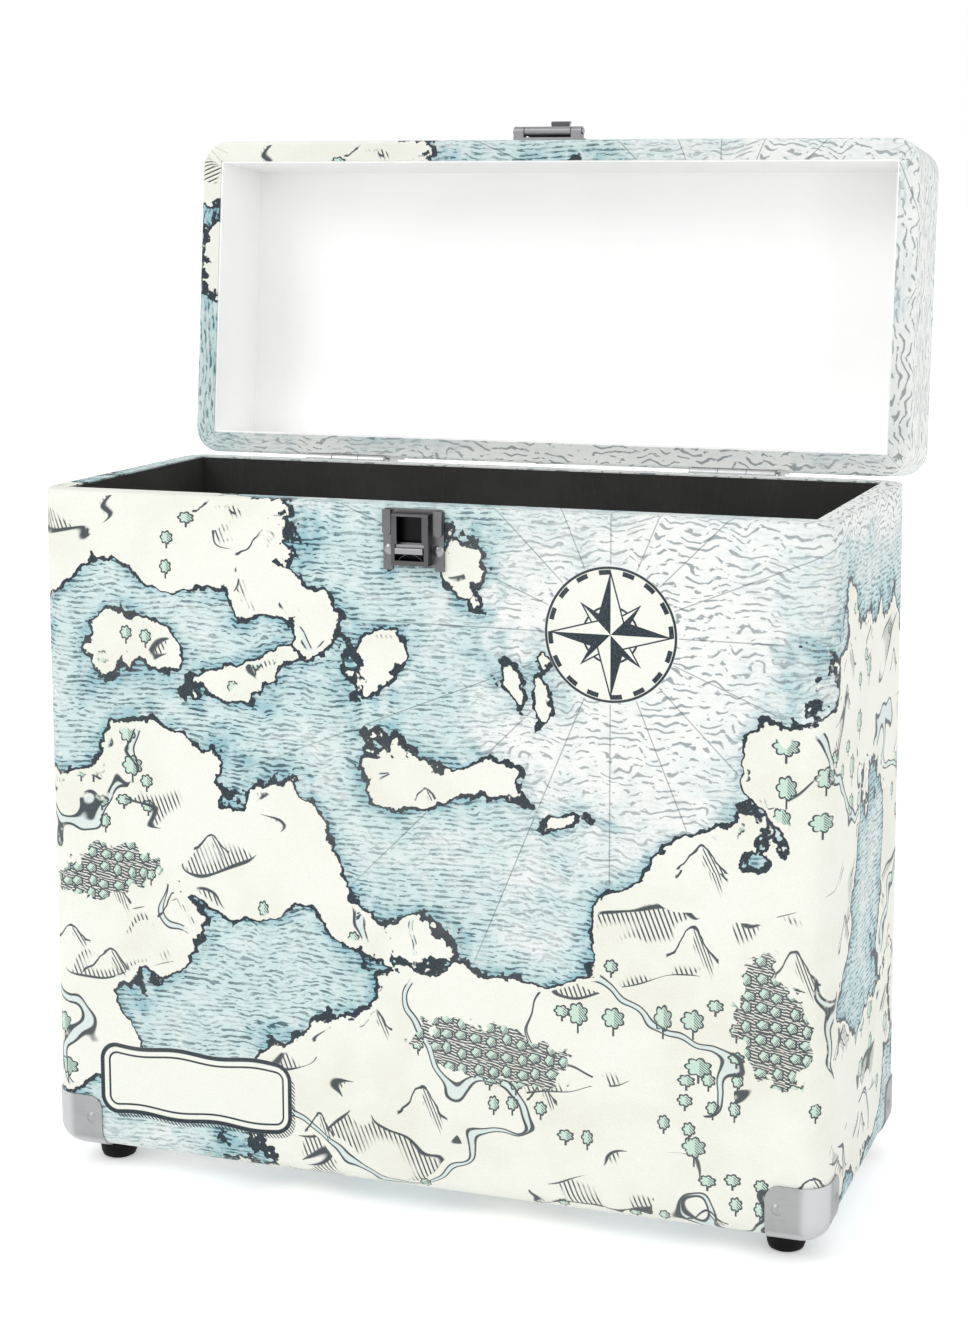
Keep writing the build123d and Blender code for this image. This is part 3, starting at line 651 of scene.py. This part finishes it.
# ---- materials
def covering_material(name, group_sheet, group_chart, group_grain, turned, turn_height, tones):
    """Printed leatherette; the lid's is unrolled as if the lid were shut."""
    material, tree, shader, position = new_material(name)
    place = position
    if turned:
        pairs = [("Vector", position), ("Center", HINGE), ("Angle", OPEN_ANGLE)]
        place = position.node("VectorRotate", pairs, rotation_type="X_AXIS")
    unrolled = use_group(tree, group_sheet, Position=place, Turn_Height=turn_height)
    print_out = use_group(tree, group_chart, Sheet=unrolled["Sheet"])
    grain = use_group(tree, group_grain, Position=position, Width=tones.grain)
    handled = position.noise(0.09, 4, 0.6, kind="3D")
    soil, crease_shade, fold_shade = (0.60, 0.56, 0.48), (0.35, 0.37, 0.38), (0.16, 0.17, 0.18)
    soiled = blend(handled.rise(0.45, 0.8) * 0.10, print_out["Color"], soil)
    # Painted shade: the grain's creases are drawn a little darker.
    creased = blend(grain["Crease"] * 0.10, soiled, crease_shade)
    rubbed = unrolled["Edge"] * position.noise(0.004, 4, 0.7, kind="3D").rise(0.52, 0.66)
    # Painted shade: the rim's fold lines are drawn dark.
    folded = blend(unrolled["Pleat"] * 0.45, creased, fold_shade)
    worn = blend(rubbed * 0.55, folded, tones.land)
    rough = grain["Crease"] * 0.10 + handled * 0.16 + 0.40 - print_out["Ink"] * 0.06 + rubbed * 0.2
    coat(tree, shader, worn, rough, grain["Height"] - unrolled["Pleat"] * 1.5, 0.35, 0.00018)
    shader.inputs["Specular IOR Level"].default_value = 0.30
    return material


def paper_material(name, tone, shade, fibre, rough):
    """Lining paper: faint mottling, long fibres and a dry surface."""
    material, tree, shader, position = new_material(name)
    mottle = position.noise(0.05, 4, 0.65, kind="3D")
    fibres = position.vector("MULTIPLY", (1.0, 1.0, 0.18)).noise(0.0011, 3, 0.6, kind="3D")
    mixed = blend(mottle.rise(0.35, 0.75) * 0.8, tone, shade)
    mixed = blend(fibres.rise(0.5, 0.8) * fibre, mixed, shade)
    coat(tree, shader, mixed, mottle * 0.15 + rough, fibres, 0.25, 0.0001)
    return material


def board_material():
    """Raw wood-fibre board: short pale and dark fibres in a tan ground."""
    material, tree, shader, position = new_material("wood_fibre_board")
    fibres = position.vector("MULTIPLY", (1.0, 1.0, 0.3)).noise(0.0016, 4, 0.7, kind="3D")
    ground = position.noise(0.02, 3, 0.6, kind="3D")
    tan, pale, dark = (0.42, 0.29, 0.17), (0.62, 0.48, 0.32), (0.36, 0.25, 0.15)
    mixed = blend(fibres.rise(0.35, 0.7), tan, pale)
    mixed = blend(ground.rise(0.4, 0.8) * 0.4, mixed, dark)
    coat(tree, shader, mixed, fibres * 0.2 + 0.7, fibres, 0.4, 0.0002)
    return material


def metal_material(group_wear, name, tone, dark, brush, rough, brushed, pocket=None, group_sheet=None):
    """Plated or brushed metal with cloudy tarnish, scratches and dents.

    The scratches are finest along the axis where the brush vector is largest. Inside a pocket,
    given as its low and high corner, the colour is painted near black as painted shade. With the case's
    own sheet given, the metal gets a painted highlight, a lighter colour, and a lower roughness where it
    goes round the case's corners."""
    material, tree, shader, position = new_material(name)
    wear = use_group(tree, group_wear, Position=position, Direction=brush)
    mixed = blend(wear["Cloud"].rise(0.45, 0.75) * 0.30, tone, dark)
    mixed = blend(wear["Scratch"].rise(0.54, 0.74) * 0.45, mixed, dark)
    if pocket:
        low, high = (np.array(corner) for corner in pocket)
        off = position.vector("SUBTRACT", tuple((low + high) / 2)).vector("ABSOLUTE").split()
        soft, black = 0.0002, (0.01, 0.01, 0.01)
        x, y, z = (away.rise(half + soft, half - soft) for away, half in zip(off, (high - low) / 2))
        # Painted shade: inside the pocket the metal's colour goes nearly black, for the dark of the catch's
        # window.
        mixed = blend(x * y * z * 0.97, mixed, black)
    roughness = wear["Cloud"] * 0.16 + wear["Scratch"] * 0.14 + rough
    if group_sheet:
        bend = use_group(tree, group_sheet, Position=position, Turn_Height=BODY_FOLD)["Edge"]
        # Painted highlight: the colour is 1.5 times lighter round the case's corners; the roughness there is
        # also lower.
        mixed = blend(bend * 0.8, mixed, tinted(tone, 1.5))
        roughness = roughness - bend * 0.06
    coat(tree, shader, mixed, roughness, wear["Scratch"] * brushed + wear["Dent"] * 0.25, 0.2, 0.00015)
    shader.inputs["Metallic"].default_value = 1.0
    return material


def rubber_material(tone):
    """Moulded rubber: fine stipple, and pale dust in soft patches."""
    material, tree, shader, position = new_material("moulded_rubber")
    stipple = position.noise(0.0007, 2, 0.6, kind="3D")
    dust = position.noise(0.012, 4, 0.65, kind="3D")
    dust_tone = (0.06, 0.057, 0.054)
    mixed = blend(dust.rise(0.5, 0.85) * 0.25, tone, dust_tone)
    coat(tree, shader, mixed, dust * 0.3 + 0.45, stipple, 0.3, 0.00015)
    shader.inputs["Specular IOR Level"].default_value = 0.12
    return material


def grip_material(group_grain):
    """Black moulded grip with a leather grain, polished where the hand holds it."""
    material, tree, shader, position = new_material("grained_grip")
    grain = use_group(tree, group_grain, Position=position, Width=0.0012)
    hand = position.split()[0].size().rise(0.045, 0.015)
    worn = position.noise(0.02, 3, 0.6, kind="3D")
    black, deep, grey = (0.022, 0.021, 0.021), (0.008, 0.008, 0.008), (0.05, 0.048, 0.046)
    # Painted shade: the grain's creases are drawn darker.
    mixed = blend(grain["Crease"] * 0.6, black, deep)
    mixed = blend(worn.rise(0.5, 0.8) * 0.3, mixed, grey)
    coat(tree, shader, mixed, 0.52 - hand * 0.16 + worn * 0.1, grain["Height"], 0.45, 0.0003)
    return material


# ---- new pieces
def grid_faces(rows, columns):
    """Quads between neighbouring points of a grid whose rows are closed rings."""
    i, j = (part.ravel() for part in np.meshgrid(np.arange(rows - 1), np.arange(columns), indexing="ij"))
    row, next_row, right = i * columns, (i + 1) * columns, (j + 1) % columns
    return np.stack([row + j, row + right, next_row + right, next_row + j], axis=1)


def mesh_object(name, points, faces, material):
    """Object from a grid of points and a list of faces."""
    mesh = bpy.data.meshes.new(name)
    mesh.from_pydata(points.reshape(-1, 3).tolist(), [], faces)
    mesh.materials.append(material)
    made = bpy.data.objects.new(name, mesh)
    bpy.context.collection.objects.link(made)
    return made


def tube_piece(name, points, material, body):
    """Piece from a grid of closed rings, with a flat cap on the first and the last ring."""
    rows, columns = points.shape[:2]
    faces = grid_faces(rows, columns).tolist()
    ring = np.arange(columns)
    faces.append(ring[::-1].tolist())
    faces.append((ring + (rows - 1) * columns).tolist())
    piece = mesh_object(name, points, faces, material)
    piece.data.shade_smooth()
    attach(piece, body)
    return piece


def turned(points, centre, angle):
    """Points turned about the X axis through a centre."""
    y, z = points[..., 1] - centre[1], points[..., 2] - centre[2]
    sine, cosine = np.sin(angle), np.cos(angle)
    turned_y = centre[1] + y * cosine - z * sine
    turned_z = centre[2] + y * sine + z * cosine
    return np.stack([points[..., 0], turned_y, turned_z], axis=-1)


def seam_points(low, high):
    """Overlap of the covering on the back wall between two heights, in millimetres: a wedge
    that is 0.35 mm thick at its cut edge and thins to nothing 14 mm further on, as height
    0.35 (1 - x / 14) squared, with its flat underside 0.1 mm inside the wall."""
    thick, width, sunk = 0.35, 14.0, 0.1
    cut_edge = [0.0, 0.06, 0.2]
    x = np.concatenate([cut_edge, np.linspace(1.0, width, 10)])
    crest = thick * (1 - x / width) ** 2
    crest[0] = 0.6 * thick
    ring_x = np.concatenate([x, x[::-1]])
    ring_y = BACK + np.concatenate([crest, np.full(len(x), -sunk)])
    z = np.linspace(low, high, 24)
    return np.stack(np.broadcast_arrays(ring_x[None, :], ring_y[None, :], z[:, None]), axis=2)


def spring_points(low, high):
    """Bowed leaf spring: a flat strip with rounded edges along the arc through its two feet
    and its crown, whose radius is (half span squared plus rise squared) over twice the rise."""
    strip, half_span, rise = 0.0003, (high[0] - low[0]) / 2, high[2] - low[2]
    radius = (half_span**2 + rise**2) / (2 * rise)
    reach = np.arcsin(half_span / radius)
    sweep = np.linspace(-reach, reach, 40)
    corner = np.linspace(0, 2 * np.pi, 12, endpoint=False)
    wide = np.sign(np.cos(corner)) * np.abs(np.cos(corner)) ** 0.3 * (high[1] - low[1]) / 2
    thick = np.sign(np.sin(corner)) * np.abs(np.sin(corner)) ** 0.5 * strip / 2
    out = radius - strip / 2 + thick[None, :]
    x = out * np.sin(sweep)[:, None]
    z = high[2] - radius + out * np.cos(sweep)[:, None]
    y = np.broadcast_to((low[1] + high[1]) / 2 + wide, x.shape)
    return np.stack([x, y, np.maximum(z, low[2])], axis=2)


def grip_points(low, high):
    """Moulded grip, hung from its pivots: a section carried along legs and quarter bends.

    The section is a superellipse, |a| to the 2.6 plus |b| to the 2.6 equal to 1, that
    swells by a tenth towards the middle of the bow and rounds off at both ends. Two rows
    of moulded stitches follow the outer face, each a Gaussian ridge in the section's angle
    times a rounded square wave along the bow, and a fine parting line follows the sides.
    """
    half_thick, half_wide = 0.0060, (high[1] - low[1]) / 2
    bend, middle_y = 0.022, (high[1] + low[1]) / 2
    reach, bottom, top = high[0] - half_thick, low[2] + half_thick, high[2]
    straight, bent = reach - bend, bottom + bend
    leg = np.linspace(0, 1, 14)
    turn = np.linspace(0, np.pi / 2, 40)[1:]
    flat = np.linspace(0, 1, 130)[1:]
    x = np.concatenate([
        np.full(leg.size, -reach),
        -straight - bend * np.cos(turn),
        -straight + 2 * straight * flat,
        straight + bend * np.sin(turn),
        np.full(leg.size - 1, reach),
    ])
    z = np.concatenate([
        top + (bent - top) * leg,
        bent - bend * np.sin(turn),
        np.full(flat.size, bottom),
        bent - bend * np.cos(turn),
        bent + (top - bent) * leg[1:],
    ])
    along = np.gradient(np.stack([x, z], axis=1), axis=0)
    along /= np.linalg.norm(along, axis=1, keepdims=True)
    outward = np.stack([along[:, 1], -along[:, 0]], axis=1)
    distance = np.concatenate([[0], np.cumsum(np.hypot(np.diff(x), np.diff(z)))])
    share = distance / distance[-1]
    from_end = np.minimum(distance, distance[-1] - distance)

    power, round_end, plain_end, side_room = 2.6, 0.004, 0.010, 0.0003
    pitch, row_angle, stitch_high, parting_high = 0.0042, 0.62, 0.0005, 0.0002
    stitch_spread, parting_spread = 0.075, 0.045
    angle = np.linspace(0, 2 * np.pi, 96, endpoint=False)
    cosine, sine = np.cos(angle), np.sin(angle)
    section = (np.abs(cosine) ** power + np.abs(sine) ** power) ** (-1 / power)
    swell = 0.9 + 0.1 * np.sin(np.pi * share)
    rounding = np.sqrt(1 - np.clip(1 - from_end / round_end, 0, 1) ** 2 * 0.36)
    stitch = np.clip(np.sin(2 * np.pi * distance / pitch) * 2 + 0.6, 0, 1) * (from_end > plain_end)
    ridge = np.zeros((x.size, angle.size))
    for place in (row_angle, -row_angle):
        off = (angle - place + np.pi) % (2 * np.pi) - np.pi
        ridge += stitch[:, None] * np.exp(-((off / stitch_spread) ** 2))[None, :]
    from_side = np.abs(np.abs(angle - np.pi) - np.pi / 2)
    parting = np.exp(-((from_side / parting_spread) ** 2))[None, :]
    size = section[None, :] * (swell * rounding)[:, None]
    out = cosine * (size * (half_thick - stitch_high) + ridge * stitch_high)
    side = sine * (size * (half_wide - side_room) + (ridge + parting) * parting_high)
    return np.stack(
        [x[:, None] + out * outward[:, :1], middle_y + side, z[:, None] + out * outward[:, 1:]], axis=2
    )


# ---- operators
class CASE_OT_covering(Operator):
    """Print the leatherette of the body and the lid"""

    bl_idname = "case.covering"
    bl_label = "Printed Covering"

    def execute(self, context):
        tones = context.scene.case_print
        sheet, chart, grain = sheet_group(), chart_group(tones), grain_group()
        body = covering_material("printed_covering_body", sheet, chart, grain, False, BODY_FOLD, tones)
        lid = covering_material("printed_covering_lid", sheet, chart, grain, True, LID_FOLD, tones)
        dress(["body_covering"], body)
        dress(["lid_covering"], lid)
        lower = seam_points(UNDERSIDE + 9, SPLIT - 1.8) / 1000
        upper = seam_points(SPLIT + 2.2, LID_TOP - 10) / 1000
        tube_piece("body_covering_seam", lower, body, "case_body")
        tube_piece("lid_covering_seam", turned(upper, HINGE, -OPEN_ANGLE), lid, "lid")
        return {"FINISHED"}


class CASE_OT_linings(Operator):
    """Paper the inside of the body and the lid, and show the boards' raw fibre"""

    bl_idname = "case.linings"
    bl_label = "Linings and Boards"

    def execute(self, context):
        finish = context.scene.case_finish
        light, dark = finish.lid_lining, finish.body_lining
        lid = paper_material("lining_paper_light", light, tinted(light, 0.96), 0.25, 0.52)
        body = paper_material("lining_paper_dark", dark, tinted(dark, 2.2), 0.6, 0.68)
        dress(named("lid_", ends="_lining"), lid)
        dress(named("body_", ends="_lining"), body)
        dress(named("body_", "lid_", ends="_board"), board_material())
        return {"FINISHED"}


class CASE_OT_metal(Operator):
    """Finish the guards, rivets, hinges, handle fittings, hasp and catch, after the covering"""

    bl_idname = "case.metal"
    bl_label = "Metal Fittings"

    def execute(self, context):
        finish = context.scene.case_finish
        steel, nickel = finish.steel, finish.nickel
        black, pale = tinted(nickel, 0.4), tinted(nickel, 1.2)
        plate, dim = tinted(nickel, 0.62), tinted(nickel, 0.45)
        zinc, dull_zinc = (0.60, 0.60, 0.61), (0.34, 0.33, 0.31)
        blue, dull_blue = (0.17, 0.18, 0.22), (0.08, 0.08, 0.09)
        dull_steel = tinted(steel, 0.62)
        level, fine, upright = (1.0, 1.0, 9.0), (1.0, 1.0, 12.0), (9.0, 1.0, 1.0)
        # The box inside the catch's housing, where the metal gets painted shade.
        low, high = (np.array(corner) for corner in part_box("catch_housing"))
        wall, ahead = 0.0010, 0.002
        pocket = (low + wall, high + (-wall, ahead, 0))
        sheet = bpy.data.node_groups["Sheet Unrolled"]
        fittings = ("hinge_", "handle_bracket", "handle_pin", "handle_rivets", "handle_strap", "foot_screws")
        bright = ("catch_slide", "catch_rivets", "hasp_rivets", "hasp_pin")
        wear, made = wear_group(), {}
        for nodes, *look in (
            # The case's sheet gives the guards a painted highlight round the case's corners.
            (("corner_guard",), "satin_steel", steel, dull_steel, fine, 0.3, 0.8, None, sheet),
            (fittings, "plated_steel", zinc, dull_zinc, (8.0, 1.0, 1.0), 0.26, 0.5),
            (("hasp_",), "dull_nickel", nickel, dim, level, 0.24, 0.5),
            (("catch_",), "nickel_round_pocket", plate, dim, level, 0.2, 0.5, pocket),
            (("catch_housing",), "black_nickel", black, tinted(black, 0.5), level, 0.2, 0.4, pocket),
            (bright, "polished_nickel", pale, nickel, upright, 0.14, 0.3),
            (("catch_spring",), "blued_spring", blue, dull_blue, upright, 0.3, 0.4),
        ):
            made[look[0]] = metal_material(wear, *look)
            dress(named(*nodes), made[look[0]])
        self.spring(made["blued_spring"])
        return {"FINISHED"}

    def spring(self, material):
        """Bowed leaf spring, built in place of the catch's spring solid, which it hides."""
        low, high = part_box("catch_spring")
        piece = tube_piece("bowed_spring", spring_points(low, high), material, "case_body")
        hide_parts("catch_spring")
        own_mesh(piece)


class CASE_OT_feet(Operator):
    """Finish the moulded rubber feet"""

    bl_idname = "case.feet"
    bl_label = "Rubber Feet"

    def execute(self, context):
        dress(named("foot_front", "foot_back"), rubber_material(context.scene.case_finish.rubber))
        return {"FINISHED"}


class CASE_OT_handle(Operator):
    """Finish the swing handle's grip, after the covering"""

    bl_idname = "case.handle"
    bl_label = "Handle Grip"

    def execute(self, context):
        material = grip_material(bpy.data.node_groups["Leather Grain"])
        dress(["handle_grip"], material)
        low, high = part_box("handle_grip")
        grip = tube_piece("moulded_grip", grip_points(low, high), material, "handle")
        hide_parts("handle_grip")
        return {"FINISHED"}


# Lamps: name, place and size in metres, and power in watts. They face a point above the origin.
LAMPS = (
    ("key_lamp", (-1.6, -2.0, 2.2), (1.4, 1.4), 24.0),
    ("strip_lamp", (1.7, -1.5, 0.8), (0.35, 1.5), 4.0),
    ("top_lamp", (0.0, 0.2, 2.8), (2.2, 2.2), 4.0),
)
AIM_HEIGHT = 0.2
# The camera's place in metres, its sensor's width in millimetres, and its shift in frame widths.
CAMERA_PLACE, SENSOR, CAMERA_SHIFT = (0.37232, -1.05016, 0.43432), 36.0, (-0.03451, -0.09490)


class CASE_OT_studio(Operator):
    """Make the pale floor, the soft lights and the camera"""

    bl_idname = "case.studio"
    bl_label = "Studio"

    def execute(self, context):
        setup = context.scene.case_studio
        self.floor(setup)
        self.lights(context)
        self.camera(context, setup)
        context.scene.view_settings.view_transform = "Standard"
        return {"FINISHED"}

    def floor(self, setup):
        """Flat round floor: rings whose radius doubles, each turned round the origin."""
        innermost, first, rings = 0.001, 0.1, 10
        reach = np.concatenate([[innermost], first * 2.0 ** np.arange(rings)])
        turn = np.linspace(0, 2 * np.pi, 96, endpoint=False)
        flat = np.zeros((len(reach), len(turn)))
        points = np.stack([np.outer(reach, np.cos(turn)), np.outer(reach, np.sin(turn)), flat], axis=2)
        faces = grid_faces(*flat.shape)[:, ::-1]
        material, tree, shader, position = new_material("studio_paper")
        mottle = position.noise(0.6, 3, 0.5, kind="3D")
        shade = blend(mottle, setup.floor, tinted(setup.floor, 0.985))
        plug(tree, shader.inputs["Base Color"], shade)
        shader.inputs["Roughness"].default_value = 0.85
        shader.inputs["Specular IOR Level"].default_value = 0.1
        # Painted light: the floor glows, more strongly further out, which whitens the far floor and lightens
        # the case's shadow.
        far = position.magnitude().rise(0.6, 3.0)
        glow = blend(far, (0.9, 0.9, 0.9), (1.0, 1.0, 1.0))
        plug(tree, shader.inputs["Emission Color"], glow)
        shader.inputs["Emission Strength"].default_value = 0.36
        mesh_object("studio_floor", points, faces.tolist(), material)

    def lights(self, context):
        """World that is white to the eye and dimmer as a light, and lamps aimed at the case."""
        world = bpy.data.worlds.new("studio_world")
        world.use_nodes = True
        background = next(node for node in world.node_tree.nodes if node.type == "BACKGROUND")
        background.inputs["Color"].default_value = (1.0, 1.0, 1.0, 1.0)
        path = world.node_tree.nodes.new("ShaderNodeLightPath")
        seen = Field(world.node_tree, path.outputs["Is Camera Ray"])
        lit = 0.95
        plug(world.node_tree, background.inputs["Strength"], seen * (1 - lit) + lit)
        context.scene.world = world
        for name, place, size, power in LAMPS:
            data = bpy.data.lights.new(name, "AREA")
            data.shape, data.energy = "RECTANGLE", power
            data.size, data.size_y = size
            lamp = bpy.data.objects.new(name, data)
            lamp.location = place
            back = lamp.location.copy()
            back.z -= AIM_HEIGHT
            lamp.rotation_euler = (-back).to_track_quat("-Z", "Y").to_euler()
            context.collection.objects.link(lamp)

    def camera(self, context, setup):
        """Camera with a risen and sideways-moved frame, so that uprights stay nearly upright."""
        data = bpy.data.cameras.new("camera")
        data.sensor_width = SENSOR
        data.lens = setup.lens
        data.shift_x, data.shift_y = CAMERA_SHIFT
        camera = bpy.data.objects.new("camera", data)
        camera.location = CAMERA_PLACE
        camera.rotation_euler = (math.pi / 2 - setup.pitch, 0.0, setup.yaw)
        context.collection.objects.link(camera)
        context.scene.camera = camera


class CASE_PT_panel(Panel):
    """Sidebar panel that lists the settings and the steps"""

    bl_label = "Record Case"
    bl_idname = "CASE_PT_panel"
    bl_space_type = "VIEW_3D"
    bl_region_type = "UI"
    bl_category = "Case"

    def draw(self, context):
        for place, group in SETTINGS:
            for name in group.__annotations__:
                self.layout.prop(getattr(context.scene, place), name)
        for step in STEPS:
            self.layout.operator(step.bl_idname)


SETTINGS = (
    ("case_print", CASE_PG_print),
    ("case_finish", CASE_PG_finish),
    ("case_studio", CASE_PG_studio),
)
STEPS = (
    CASE_OT_covering, CASE_OT_linings, CASE_OT_metal, CASE_OT_feet, CASE_OT_handle, CASE_OT_studio
)


def register():
    for name, group in SETTINGS:
        bpy.utils.register_class(group)
        setattr(bpy.types.Scene, name, PointerProperty(type=group))
    for kind in (*STEPS, CASE_PT_panel):
        bpy.utils.register_class(kind)


def unregister():
    for kind in (CASE_PT_panel, *reversed(STEPS)):
        bpy.utils.unregister_class(kind)
    for name, group in reversed(SETTINGS):
        delattr(bpy.types.Scene, name)
        bpy.utils.unregister_class(group)


def main():
    register()
    bpy.ops.case.covering()
    bpy.ops.case.linings()
    bpy.ops.case.metal()
    bpy.ops.case.feet()
    bpy.ops.case.handle()
    bpy.ops.case.studio()


if __name__ == "__main__":
    main()
